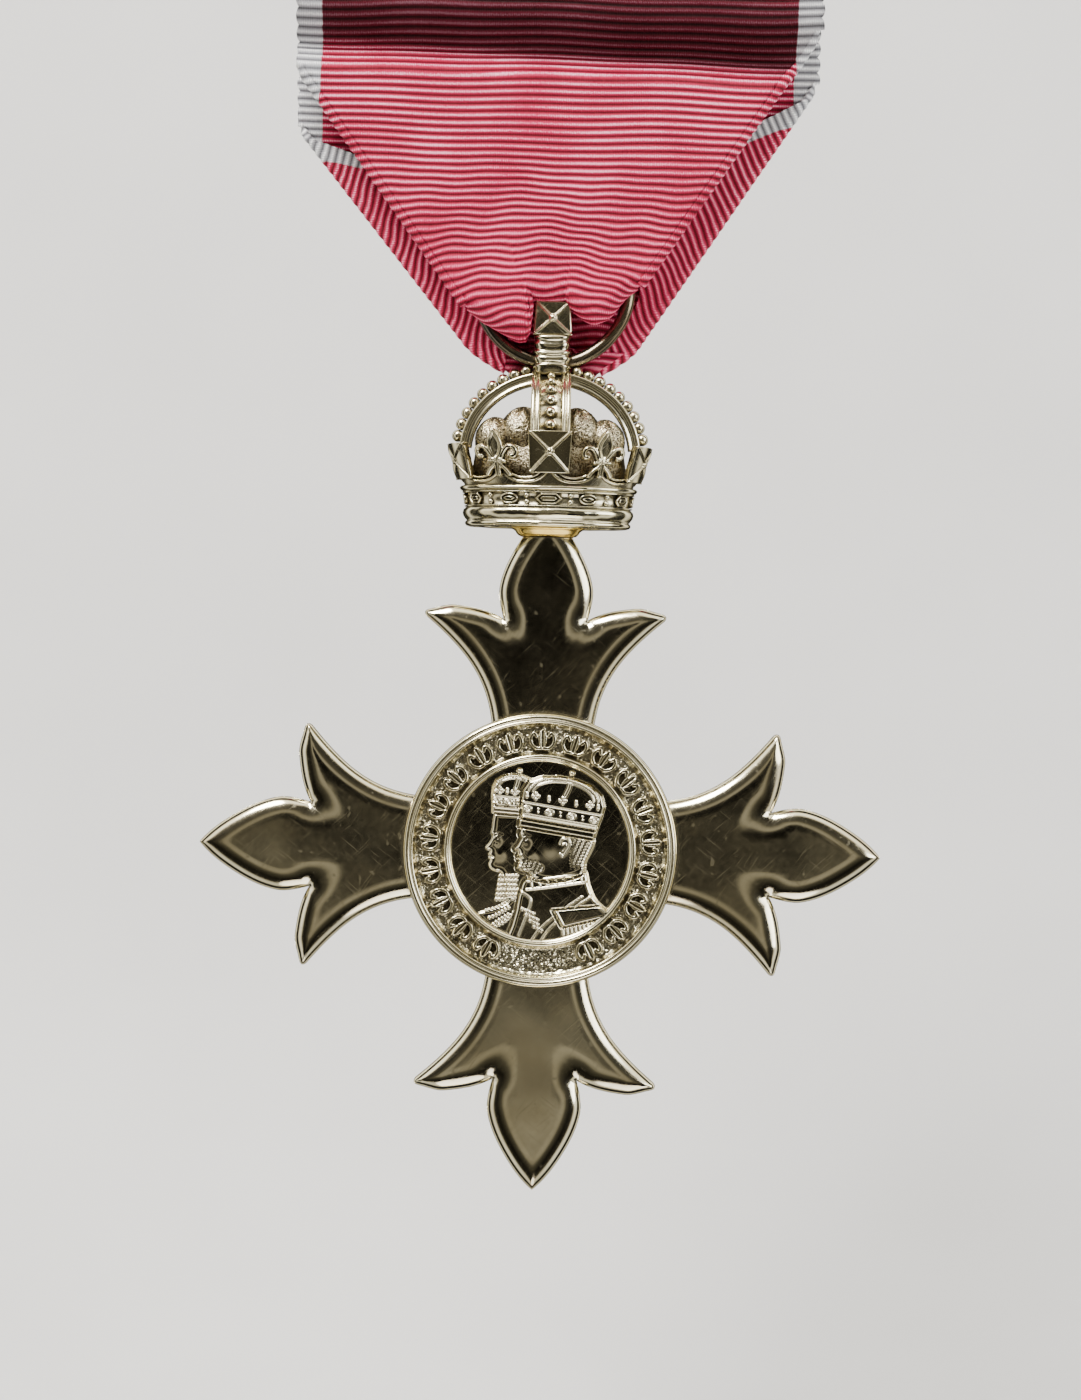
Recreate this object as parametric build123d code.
"""A crowned cross badge hanging by a ring from a folded ribbon on a brooch.

Millimetres, +Z up, the obverse faces -Y. Everything is drawn in the badge frame, whose
origin is the middle of the cross, and is moved to the row frame when it is written: the
row origin is the middle of the brooch pin, where a wearer fastens the medal.
"""

from math import asin, atan2, cos, degrees, hypot, pi, radians, sin, sqrt
import os

from build123d import *

# ---- driving dimensions: badge ------------------------------------------------------
ARM_REACH = 25.0  # centre of the cross to the point of an arm
ARM_HALF_THICK = 1.1
EDGE_BEVEL = 0.45
ARM_ROOT_HALF = 3.75
ARM_ROOT_U = 9.0
LEAF_TIP = (17.2, 8.95)  # point of a side leaf: along the arm, across it
LEAF_BACK = (17.85, 6.6)
NOTCH = (16.9, 3.1)
MIDDLE_LEAF = [(19.3, 3.42), (22.3, 2.2)]

CIRCLET_R = 10.0
CHANNEL_OUT_R = 9.25
CHANNEL_IN_R = 7.05
FIELD_R = 6.5
RIM_H = 1.05  # above the face of the cross
CHANNEL_H = 0.65
FIELD_H = 0.45
SEAT_GAP = 0.02  # between the field disc and the circlet round it
PEG_R = 0.5
PEG_X = 3.2
PEG_SINK = 0.25  # how far a peg reaches into each medallion

# ---- driving dimensions: crown ------------------------------------------------------
CROWN_Z = 23.6  # underside of the crown
BASE_TOP = 25.0
BAND_TOP = 26.6
BAND_A, BAND_B = 6.1, 3.3  # half width and half depth of the jewelled band
FLARE_A, FLARE_B = 6.75, 3.75  # the crest, where the ornaments stand
WALL = 0.75
CREST_TOP = 28.5
ORNAMENT_Z = 28.95
CROSS_SIZE = 3.15
FLEUR_X = 3.6
ARCH_Z = 29.0  # level of the ellipses that the arches follow
ARCH_RISE = 6.4  # up to the pearl centres
SIDE_ARCH_A = 6.95
FORE_ARCH_B = 4.15
ARCH_WIDTH = 2.5
PEARL_R = 0.37
PEARL_STEP = 0.98
SADDLE_Z = 34.95  # flat top of the crossing, under the orb

# ---- driving dimensions: orb, ring, ribbon, brooch -----------------------------------
RING_HOLE_Z = 35.75
RING_HOLE_R = 0.68
ORB_Z = 36.4
ORB_R = 1.34
FINIAL_Z = 38.95
FINIAL_SIZE, FINIAL_DEPTH = 2.6, 2.2

RING_R = 5.6  # to the middle of the wire
RING_WIRE_R = 0.5
RING_Z = RING_HOLE_Z + RING_R

RIBBON_HALF = 19.2
RIBBON_FRONT = (-2.3, -1.4)  # depth taken by the front run
RIBBON_BACK = (1.2, 2.1)  # depth taken by the back run
BEND_Z = 48.0  # where the ribbon folds when the badge is lifted
FOLD_LEFT_Z, FOLD_RIGHT_Z = 56.9, 60.5  # where the front folds leave the two edges
BACK_LEFT_Z, BACK_RIGHT_Z = 52.3, 57.0  # the same for the back run
BACK_BOTTOM_Z = 35.2
FOLD_Z = (37.9, 38.8)  # the fold that passes through the ring
BACK_BOTTOM_HALF = 4.5
POCKET_HALF = 1.7  # room behind the orb cross, for the badge to rock
POCKET_BACK = 2.5
POCKET_TOP = 41.0

ROD_Z = 74.5
ROD_R = 1.0
ROD_HALF = 21.3
LOOP_IN_R = 1.15
PIN_Y = 4.0
PIN_R = 0.45
HINGE_X = -21.6
EYE_R = 0.95
EYE_HALF = 0.45
RIVET_R = 0.4
CATCH_X = 20.6
JAW_R = 1.15
MOUTH_HALF = 0.55  # of the slot that the pin drops into
COLLAR_IN_R = 1.2
COLLAR_OUT_R = 1.6

FRONT = Plane.XZ  # sketches of the badge: x to the right, y up, normal towards -Y
TO_ROW = Location((0, -PIN_Y, -ROD_Z))


def front(shape_2d, y_near, y_far):
    """A sketch drawn as seen from the front, made solid from y_near back to y_far."""
    return Pos(0, y_far, 0) * extrude(FRONT * shape_2d, y_far - y_near)


def polygon(points):
    return make_face(Polyline(*points, close=True))


def ellipse_at(a, b, z):
    return Pos(0, 0, z) * Ellipse(a, b)


def stacked(sections, ruled=False):
    """A solid through ellipses given as (half width, half depth, height)."""
    return loft([ellipse_at(*s) for s in sections], ruled=ruled)


def ellipsoid(a, b, c, centre):
    return Pos(*centre) * scale(Sphere(1), by=(a, b, c))


# ---- the cross and its medallions -----------------------------------------------------
def arm_face():
    """One arm of the cross along +X: a flared stem, two side leaves and a middle leaf."""

    def half(side):
        def at(point):
            return (point[0], side * point[1])

        flare = Spline(
            at((ARM_ROOT_U, ARM_ROOT_HALF)),
            at((11.8, 4.45)),
            at((14.25, 5.95)),
            at(LEAF_TIP),
            tangents=[(1, side * 0.12), (0.75, side * 0.9)],
        )
        back = ThreePointArc(at(LEAF_TIP), at(LEAF_BACK), at(NOTCH))
        leaf = Spline(
            at(NOTCH),
            at(MIDDLE_LEAF[0]),
            at(MIDDLE_LEAF[1]),
            (ARM_REACH, 0),
            tangents=[(0.97, side * 0.25), (0.62, -side * 0.78)],
        )
        return [flare, back, leaf]

    root = [
        Line((ARM_ROOT_U, ARM_ROOT_HALF), (0, ARM_ROOT_HALF)),
        Line((0, ARM_ROOT_HALF), (0, -ARM_ROOT_HALF)),
        Line((0, -ARM_ROOT_HALF), (ARM_ROOT_U, -ARM_ROOT_HALF)),
    ]
    return make_face(half(1) + half(-1) + root)


def pegs(y_near, y_far, radius):
    spots = Pos(-PEG_X, 0) * Circle(radius) + Pos(PEG_X, 0) * Circle(radius)
    return front(spots, y_near, y_far)


def cross_arms():
    """The four arms on a round middle, bevelled along the whole outline."""
    arm = front(arm_face(), -ARM_HALF_THICK, ARM_HALF_THICK)
    body = front(Circle(CIRCLET_R - 0.6), -ARM_HALF_THICK, ARM_HALF_THICK)
    for turn in range(4):
        body += Rot(0, 90 * turn, 0) * arm
    on_faces = [e for e in body.edges() if abs(abs(e.center().Y) - ARM_HALF_THICK) < 1e-4]
    body = chamfer(on_faces, EDGE_BEVEL)
    above = Pos(0, 0, CROWN_Z + 4.4) * Box(12, 12, 10)
    return body - above - pegs(-2, 2, PEG_R)


def circlet(side):
    """The raised ring round a medallion. side is -1 for the obverse, 1 for the reverse."""
    face = ARM_HALF_THICK
    rim, channel = face + RIM_H, face + CHANNEL_H
    outline = [
        (FIELD_R, face),
        (CIRCLET_R, face),
        (CIRCLET_R, rim - 0.35),
        (CIRCLET_R - 0.3, rim),
        (CHANNEL_OUT_R + 0.15, rim),
        (CHANNEL_OUT_R, channel),
        (CHANNEL_IN_R, channel),
        (CHANNEL_IN_R - 0.15, rim - 0.1),
        (FIELD_R + 0.15, rim - 0.1),
        (FIELD_R, rim - 0.3),
    ]
    section = polygon([(r, side * y) for r, y in outline])
    return revolve(section, Axis.Y)


def medallion(side):
    near, far = sorted((side * ARM_HALF_THICK, side * (ARM_HALF_THICK + FIELD_H)))
    disc = front(Circle(FIELD_R - SEAT_GAP), near, far)
    reach = ARM_HALF_THICK + PEG_SINK
    return disc - pegs(-reach, reach, PEG_R)


def centre_pegs():
    reach = ARM_HALF_THICK + PEG_SINK
    return pegs(-reach, reach, PEG_R)


# ---- the crown ------------------------------------------------------------------------
def crown_collar():
    """The block that joins the underside of the crown to the top arm."""
    return Pos(0, 0, CROWN_Z - 0.3) * Box(4.6, 2.6, 0.6)


def crown_band():
    """The base moulding, the flat jewelled band and the fillet above it, as one rim."""
    profile = [
        (-0.35, CROWN_Z),
        (0.1, CROWN_Z + 0.3),
        (0.22, CROWN_Z + 0.7),
        (0.08, CROWN_Z + 1.15),
        (-0.15, BASE_TOP),
        (0.1, BAND_TOP - 0.4),
        (0.3, BAND_TOP - 0.28),
        (0.3, BAND_TOP - 0.12),
        (0.15, BAND_TOP),
    ]
    rim = stacked([(BAND_A + grow, BAND_B + grow, z) for grow, z in profile], ruled=True)
    hollow = stacked(
        [
            (BAND_A - 0.9, BAND_B - 0.9, CROWN_Z + 0.7),
            (BAND_A - WALL, BAND_B - WALL, BAND_TOP),
        ]
    )
    return rim - hollow


def on_band(x, z, proud, back=False):
    """Where a point x across the band lies on its face, with the way it faces."""
    share = (z - BASE_TOP) / 1.2
    a = BAND_A - 0.15 + 0.25 * share + proud
    b = BAND_B - 0.15 + 0.25 * share + proud
    angle = asin(max(-1, min(1, x / a)))
    y = -b * cos(angle)
    facing = degrees(atan2(sin(angle) / a, cos(angle) / b))
    place = Pos(x, y, z) * Rot(0, 0, facing)
    return Rot(0, 0, 180) * place if back else place


def hexagon(width, height):
    w, h = width / 2, height / 2
    return polygon([(w, 0), (w / 2, h), (-w / 2, h), (-w, 0), (-w / 2, -h), (w / 2, -h)])


def oval(width, height):
    return Ellipse(width / 2, height / 2)


def jewel(outline, width, height):
    """A framed stone, facing -Y: a bevelled mount with a table cut stone inside it."""

    def frustum(large, small, low, high):
        foot = FRONT.offset(low) * outline(large * width, large * height)
        table = FRONT.offset(high) * outline(small * width, small * height)
        return loft([foot, table])

    return frustum(1, 0.85, 0, 0.16) + frustum(0.62, 0.45, 0.1, 0.28)


def band_jewels():
    """Long six sided stones at the middle of each face, round ones beside them."""
    stones = []
    for back in (False, True):
        stones.append(on_band(0, 25.63, -0.04, back) * jewel(hexagon, 1.85, 0.88))
        for x in (-3.1, 3.1):
            stones.append(on_band(x, 25.63, -0.04, back) * jewel(oval, 1.25, 0.86))
        for x in (-5.5, 5.5):
            stones.append(on_band(x, 25.63, -0.04, back) * jewel(hexagon, 1.1, 0.86))
    return stones


def band_pearls():
    balls = []
    for back in (False, True):
        for x in (-4.5, -1.72, 1.72, 4.5):
            for z in (25.36, 25.92):
                balls.append(on_band(x, z, 0, back) * Sphere(0.19))
    return balls


def on_crest(x, back=False):
    """The seat of an ornament on the flared crest, and the way it faces and leans."""
    angle = asin(max(-1, min(1, x / FLARE_A)))
    y = -FLARE_B * cos(angle)
    facing = degrees(atan2(sin(angle) / FLARE_A, cos(angle) / FLARE_B))
    place = Pos(x, y, ORNAMENT_Z) * Rot(0, 0, facing)
    return Rot(0, 0, 180) * place if back else place


def crown_crest():
    """The flared wall above the band, scalloped between the ornaments."""
    outer = loft(
        [
            ellipse_at(BAND_A + 0.1, BAND_B + 0.1, BAND_TOP),
            ellipse_at(FLARE_A - 0.05, FLARE_B - 0.05, CREST_TOP),
        ]
    )
    inner = loft(
        [
            ellipse_at(BAND_A - WALL + 0.1, BAND_B - WALL + 0.1, BAND_TOP),
            ellipse_at(FLARE_A - WALL, FLARE_B - WALL, CREST_TOP),
        ]
    )
    wall = outer - inner
    for side in (-1, 1):
        for x, half in ((1.85, 1.25), (5.15, 0.95)):
            facing = degrees(asin(x / FLARE_A)) * side
            bite = Pos(side * x, 0, CREST_TOP + 0.1) * Rot(90, 0, 0) * Cylinder(half, 12)
            wall -= bite
    return wall


def pattee(size, depth, flare=0.9):
    """A cross pattee facing -Y: four bevelled triangular arms and a pearl at the middle."""
    half = size / 2
    inner, outer = 0.16 * size, flare * half
    arm = polygon([(0.06 * size, 0.1), (outer, half), (-outer, half), (-0.06 * size, 0.1)])
    body = None
    for turn in range(4):
        wedge = extrude(FRONT * (Rot(0, 0, 90 * turn) * arm), depth / 2, taper=24)
        body = wedge if body is None else body + wedge
    plate = front(RectangleRounded(size * 0.94, size * 0.94, 0.1), 0, depth / 2)
    return body + plate + Pos(0, -depth / 3, 0) * Sphere(inner * 0.72)


def crown_crosses():
    """Front and back crosses, and the two at the ends."""
    lean = Rot(8, 0, 0)
    facing = pattee(CROSS_SIZE, 0.8)
    crosses = [on_crest(0, back) * lean * facing for back in (False, True)]
    for side in (-1, 1):
        place = Pos(side * (FLARE_A - 0.1), 0, ORNAMENT_Z) * Rot(0, 0, side * 90)
        crosses.append(place * lean * facing)
    return crosses


def fleur():
    """A fleur-de-lis facing -Y: a middle petal, two curled ones, a tie and a foot."""
    petal = ellipsoid(0.44, 0.3, 1.05, (0, 0, 0.42))
    body = petal
    for side in (-1, 1):
        curl = Pos(side * 0.78, 0, 0.12) * Rot(90, 0, 0) * Torus(0.4, 0.2)
        gap = Pos(side * 0.45, 0, -0.62) * Box(0.9, 2, 0.75)
        body += curl - gap
        foot = Pos(side * 0.3, 0, -0.95) * Rot(0, side * -28, 0) * Box(0.28, 0.34, 0.72)
        body += foot
    tie = Pos(0, 0, -0.52) * Box(1.0, 0.56, 0.26)
    stem = Pos(0, 0, -0.95) * Box(0.3, 0.34, 0.8)
    return body + tie + stem


def crown_fleurs():
    return [
        on_crest(side * FLEUR_X, back) * Rot(6, 0, 0) * fleur()
        for back in (False, True)
        for side in (-1, 1)
    ]


def crown_cap():
    """The gathered cap inside the arches: six soft lobes on an oval plug."""
    cap = stacked(
        [
            (BAND_A - WALL - 0.1, BAND_B - WALL - 0.1, BAND_TOP),
            (5.2, 2.55, 28.2),
            (4.6, 2.1, 30.2),
        ]
    )
    for side in (-1, 1):
        for depth in (-1, 1):
            cap += Pos(side * 1.75, depth * 0.7, 30.35) * Sphere(1.75)
            cap += Pos(side * 4.0, depth * 0.55, 29.95) * Sphere(1.5)
    return cap


def half_ellipse(a, c):
    """The upper half of an ellipse standing on the level of the arches, as a sketch."""
    whole = Pos(0, ARCH_Z) * Ellipse(a, c)
    return whole & (Pos(0, ARCH_Z + 10) * Rectangle(40, 20))


def arch(a):
    """An arch across X: a strip with a raised border along each edge."""
    strip = half_ellipse(a - 0.25, ARCH_RISE - 0.25) - half_ellipse(a - 0.85, ARCH_RISE - 0.85)
    border = half_ellipse(a - 0.02, ARCH_RISE - 0.02) - half_ellipse(a - 0.85, ARCH_RISE - 0.85)
    half = ARCH_WIDTH / 2
    body = front(strip, -half, half)
    for near, far in ((-half, -half + 0.35), (half - 0.35, half)):
        body += front(border, near, far)
    return body


def pearl_places(a):
    """Points on one side of an arch, a pearl's step apart, from the crossing outwards."""
    places, along, angle = [], 0.0, 0.0
    step = 0.002
    while angle < pi / 2:
        dx, dz = a * cos(angle), -ARCH_RISE * sin(angle)
        along += hypot(dx, dz) * step
        angle += step
        x, z = a * sin(angle), ARCH_Z + ARCH_RISE * cos(angle)
        if x >= 2.28 and (not places or along >= PEARL_STEP):
            places.append((x, z))
            along = 0.0
    return [p for p in places if p[1] > ARCH_Z + 0.75]


def side_pearls():
    balls = [
        Pos(side * x, 0, z - 0.1 * (n == 0)) * Sphere(PEARL_R)
        for side in (-1, 1)
        for n, (x, z) in enumerate(pearl_places(SIDE_ARCH_A))
    ]
    return balls


def fore_pearls():
    balls = []
    for side in (-1, 1):
        for n in range(6):
            angle = radians(24 + 10.4 * n)
            y = side * FORE_ARCH_B * sin(angle)
            z = ARCH_Z + ARCH_RISE * cos(angle)
            balls.append(Pos(0, y, z) * Sphere(PEARL_R * (0.8 + 0.04 * n)))
    return balls


def orb():
    """The ball on the crossing, belted, bored sideways for the ring."""
    ball = Pos(0, 0, ORB_Z) * Sphere(ORB_R)
    belt = Pos(0, 0, ORB_Z + 0.25) * Torus(ORB_R - 0.1, 0.2)
    strap = Pos(0, 0, ORB_Z) * Rot(90, 0, 0) * Torus(ORB_R - 0.1, 0.2)
    strap -= Pos(0, 0, ORB_Z - 2) * Box(6, 6, 4)
    socket = Pos(0, 0, (SADDLE_Z + ORB_Z - 0.5) / 2) * Cylinder(1.2, ORB_Z - 0.5 - SADDLE_Z)
    bore = Pos(0, 0, RING_HOLE_Z) * Rot(0, 90, 0) * Cylinder(RING_HOLE_R, 6)
    return ball + belt + strap + socket - bore


def orb_cross():
    """The cross on top, faceted on its front and back."""
    core = Pos(0, 0, FINIAL_Z) * Box(FINIAL_SIZE * 0.9, FINIAL_DEPTH * 0.5, FINIAL_SIZE)
    near = Pos(0, -0.32, FINIAL_Z) * pattee(FINIAL_SIZE, FINIAL_DEPTH - 0.6)
    return core + near + mirror(near, Plane.XZ)


# ---- ring and ribbon --------------------------------------------------------------------
def suspension_ring():
    return Pos(0, 0, RING_Z) * Rot(90, 0, 0) * Torus(RING_R, RING_WIRE_R)


def v_outline(left_z, right_z, bottom_z, left_x, right_x, top_z):
    """A strip whose two edges fold in along straight lines to a narrow foot."""
    return polygon(
        [
            (-RIBBON_HALF, top_z),
            (-RIBBON_HALF, left_z),
            (left_x, bottom_z),
            (right_x, bottom_z),
            (RIBBON_HALF, right_z),
            (RIBBON_HALF, top_z),
        ]
    )


def ribbon_runs(top_z):
    """The front and back runs below top_z, each with its folded sides, as two plates."""
    fore = v_outline(FOLD_LEFT_Z, FOLD_RIGHT_Z, 38.6, -5.9, 5.2, top_z)
    foot = polygon([(-5.9, 38.6), (-3.9, 37.8), (3.9, 37.8), (5.2, 38.6)])
    rear = v_outline(
        BACK_LEFT_Z, BACK_RIGHT_Z, 36.6, -BACK_BOTTOM_HALF - 1.2, BACK_BOTTOM_HALF + 1.2, top_z
    )
    pouch = polygon(
        [
            (-BACK_BOTTOM_HALF - 1.2, 36.6),
            (-BACK_BOTTOM_HALF, BACK_BOTTOM_Z),
            (BACK_BOTTOM_HALF, BACK_BOTTOM_Z),
            (BACK_BOTTOM_HALF + 1.2, 36.6),
        ]
    )
    return front(fore + foot, *RIBBON_FRONT), front(rear + pouch, *RIBBON_BACK)


def slab(low_z, high_z):
    return Pos(0, 0, (low_z + high_z) / 2) * Box(60, 20, high_z - low_z)


def ribbon_panel():
    """The upper part of the ribbon: both runs, joined round the brooch rod."""
    fore, rear = ribbon_runs(ROD_Z)
    out_front, out_back = -RIBBON_FRONT[0], RIBBON_BACK[1]
    over = Pos(0, 0, ROD_Z) * Rot(0, 90, 0) * Cylinder(out_front, 2 * RIBBON_HALF)
    over &= Pos(0, -5, ROD_Z + 5) * Box(60, 10, 10)
    behind = Pos(0, 0, ROD_Z) * Rot(0, 90, 0) * Cylinder(out_back, 2 * RIBBON_HALF)
    behind &= Pos(0, 5, ROD_Z + 5) * Box(60, 10, 10)
    loop = over + behind
    body = fore + rear + loop
    body -= Pos(0, 0, ROD_Z) * Rot(0, 90, 0) * Cylinder(LOOP_IN_R, 60)
    return body & slab(BEND_Z + 0.05, ROD_Z + 4)


def ribbon_loop():
    """The lower part: it passes through the ring, with a pocket behind the orb cross."""
    fore, rear = ribbon_runs(BEND_Z + 2)
    low, high = FOLD_Z
    bridge = polygon([(-3.6, high), (-3.3, low), (3.3, low), (3.6, high)])
    body = fore + rear + front(bridge, RIBBON_FRONT[1], RIBBON_BACK[0])
    room = Box(2 * POCKET_HALF, 12, 20)
    body -= Pos(0, 0, POCKET_TOP - 10) * room
    outer = front(
        Pos(0, 38.9) * Rectangle(2 * POCKET_HALF + 1.4, 5.4), RIBBON_BACK[0], POCKET_BACK + 0.6
    )
    inner = Pos(0, -6 + POCKET_BACK, POCKET_TOP - 10) * room
    return (body + (outer - inner)) & slab(30, BEND_Z)


def ribbon_stitching():
    """A row of thread stitches that closes the loop under the rod."""
    length = RIBBON_BACK[0] - RIBBON_FRONT[1]
    middle = (RIBBON_BACK[0] + RIBBON_FRONT[1]) / 2
    stitch = Rot(90, 0, 0) * Cylinder(0.16, length)
    return [Pos(-17.6 + 3.2 * n, middle, ROD_Z - 2.4) * stitch for n in range(12)]


# ---- brooch ---------------------------------------------------------------------------------
def brooch_rod():
    rod = Pos(0, 0, ROD_Z) * Rot(0, 90, 0) * Cylinder(ROD_R, 2 * ROD_HALF)
    return rod


def hinge_block():
    """The block on the rod's end, with two ears that hold the pin's eye."""
    ear_half = 1.45
    block = Pos(HINGE_X - 0.35, PIN_Y / 2 + 0.05, ROD_Z) * Box(2.1, PIN_Y + 1.9, 2 * ear_half)
    block = fillet(block.edges().filter_by(Axis.Z), 0.5)
    slot = Pos(HINGE_X, PIN_Y + 0.15, ROD_Z) * Box(6, 2.9, 2 * EYE_HALF + 0.1)
    rod_seat = Pos(0, 0, ROD_Z) * Rot(0, 90, 0) * Cylinder(ROD_R, 2 * ROD_HALF)
    rivet = Pos(HINGE_X, PIN_Y, ROD_Z) * Cylinder(RIVET_R, 8)
    return block - slot - rod_seat - rivet


def hinge_rivet():
    shank = Cylinder(RIVET_R, 2.9)
    head = Cylinder(RIVET_R + 0.25, 0.22)
    body = shank + Pos(0, 0, 1.56) * head + Pos(0, 0, -1.56) * head
    return Pos(HINGE_X, PIN_Y, ROD_Z) * body


def pin_stem():
    """The pointed pin with its flat eye."""
    stem_start, stem_end, tip = HINGE_X + 0.5, 19.6, 22.6
    eye = Cylinder(EYE_R, 2 * EYE_HALF) - Cylinder(RIVET_R + 0.06, 4)
    stem = Pos((stem_start + stem_end) / 2, PIN_Y, ROD_Z)
    stem *= Rot(0, 90, 0) * Cylinder(PIN_R, stem_end - stem_start)
    stem -= Pos(HINGE_X, PIN_Y, ROD_Z) * Cylinder(RIVET_R + 0.06, 4)
    point = Pos((stem_end + tip) / 2, PIN_Y, ROD_Z) * Rot(0, 90, 0)
    point *= Cone(PIN_R, 0.08, tip - stem_end)
    return Pos(HINGE_X, PIN_Y, ROD_Z) * eye + stem + point


def slot(radius):
    """The outline of a slot, round at the pin and open away from the rod."""
    return Circle(radius) + Pos(2, 0) * Rectangle(4, 2 * radius)


def across(outline, start, length):
    """An outline drawn round the pin's line, made solid along it."""
    return Pos(start, PIN_Y, ROD_Z) * extrude(Plane.YZ * outline, length)


def catch_jaw():
    """The post on the other end, with a C shaped jaw open away from the rod."""
    post = polygon([(-PIN_Y - 1.4, -1.4), (-0.3, -0.9), (-0.3, 0.9), (-PIN_Y - 1.4, 1.4)])
    post -= Pos(-PIN_Y, 0) * Circle(ROD_R)
    gap = slot(MOUTH_HALF)
    foot = across(post + Circle(JAW_R) - gap, CATCH_X, 0.7)
    jaw = across(Circle(JAW_R) - gap, CATCH_X + 0.7, 1.75)
    stop = across(Circle(COLLAR_OUT_R - 0.1) - gap, CATCH_X + 2.45, 0.35)
    return foot + jaw + stop


def catch_collar():
    """The turning collar that closes the jaw, with a thumb tab."""
    start, length = CATCH_X + 0.8, 1.55
    gap = slot(MOUTH_HALF + 0.05)
    ring = across(Circle(COLLAR_OUT_R) - Circle(COLLAR_IN_R) - gap, start, length)
    tab = Pos(start + length / 2, PIN_Y, ROD_Z + COLLAR_OUT_R + 0.3) * Box(length, 0.5, 0.9)
    return ring + fillet(tab.edges().filter_by(Axis.X), 0.12)


# ---- assembly --------------------------------------------------------------------------------
def trimmed(shape, *cutters):
    """shape with the room that its neighbours take cut out of it."""
    for cutter in cutters:
        for solid in cutter if isinstance(cutter, list) else cutter.solids():
            shape -= solid
    return shape


def without_slivers(shape, smallest=0.3):
    """The solids of a shape that are larger than a scrap left by trimming."""
    return Compound(children=[s for s in shape.solids() if s.volume > smallest])


def one_by_one(shapes, *cutters):
    """A group of like solids, each trimmed by the same neighbours."""
    return Compound(children=[trimmed(s, *cutters) for s in shapes])


def build():
    band, crest = crown_band(), crown_crest()
    crosses = crown_crosses()
    side_balls, fore_balls = side_pearls(), fore_pearls()
    ball = orb()
    side_arch = arch(SIDE_ARCH_A)
    fore_arch = Rot(0, 0, 90) * arch(FORE_ARCH_B)
    above_saddle = Pos(0, 0, SADDLE_Z + 2) * Box(8, 8, 4)
    side_arch = trimmed(side_arch, above_saddle, crosses, side_balls)
    fore_arch = trimmed(fore_arch, above_saddle, crosses, fore_balls)
    side_arch = without_slivers(trimmed(side_arch, fore_arch))
    fore_arch = without_slivers(fore_arch)
    fleurs = crown_fleurs()
    crest = without_slivers(trimmed(crest, crosses, fleurs), 1)
    cap = trimmed(crown_cap(), band, crest, crosses, fleurs, side_arch, fore_arch)
    stitches = ribbon_stitching()
    return {
        "cross_arms": cross_arms(),
        "obverse_circlet": circlet(-1),
        "obverse_medallion": medallion(-1),
        "reverse_circlet": circlet(1),
        "reverse_medallion": medallion(1),
        "centre_pegs": centre_pegs(),
        "crown_collar": crown_collar(),
        "crown_band": band,
        "band_jewels": Compound(children=band_jewels()),
        "band_pearls": Compound(children=band_pearls()),
        "crown_crest": crest,
        "crown_crosses": one_by_one(crosses, side_balls, fore_balls),
        "crown_fleurs": Compound(children=fleurs),
        "crown_cap": cap,
        "side_arch": side_arch,
        "fore_arch": fore_arch,
        "side_arch_pearls": Compound(children=side_balls),
        "fore_arch_pearls": Compound(children=fore_balls),
        "orb": ball,
        "orb_cross": trimmed(orb_cross(), ball),
        "suspension_ring": suspension_ring(),
        "ribbon_panel": ribbon_panel(),
        "ribbon_loop": ribbon_loop(),
        "ribbon_stitching": Compound(children=stitches),
        "brooch_rod": brooch_rod(),
        "hinge_block": hinge_block(),
        "hinge_rivet": hinge_rivet(),
        "pin_stem": pin_stem(),
        "catch_jaw": catch_jaw(),
        "catch_collar": catch_collar(),
    }


os.makedirs("parts", exist_ok=True)
for name, shape in build().items():
    export_step(TO_ROW * Compound(children=list(shape.solids())), f"parts/{name}.step")
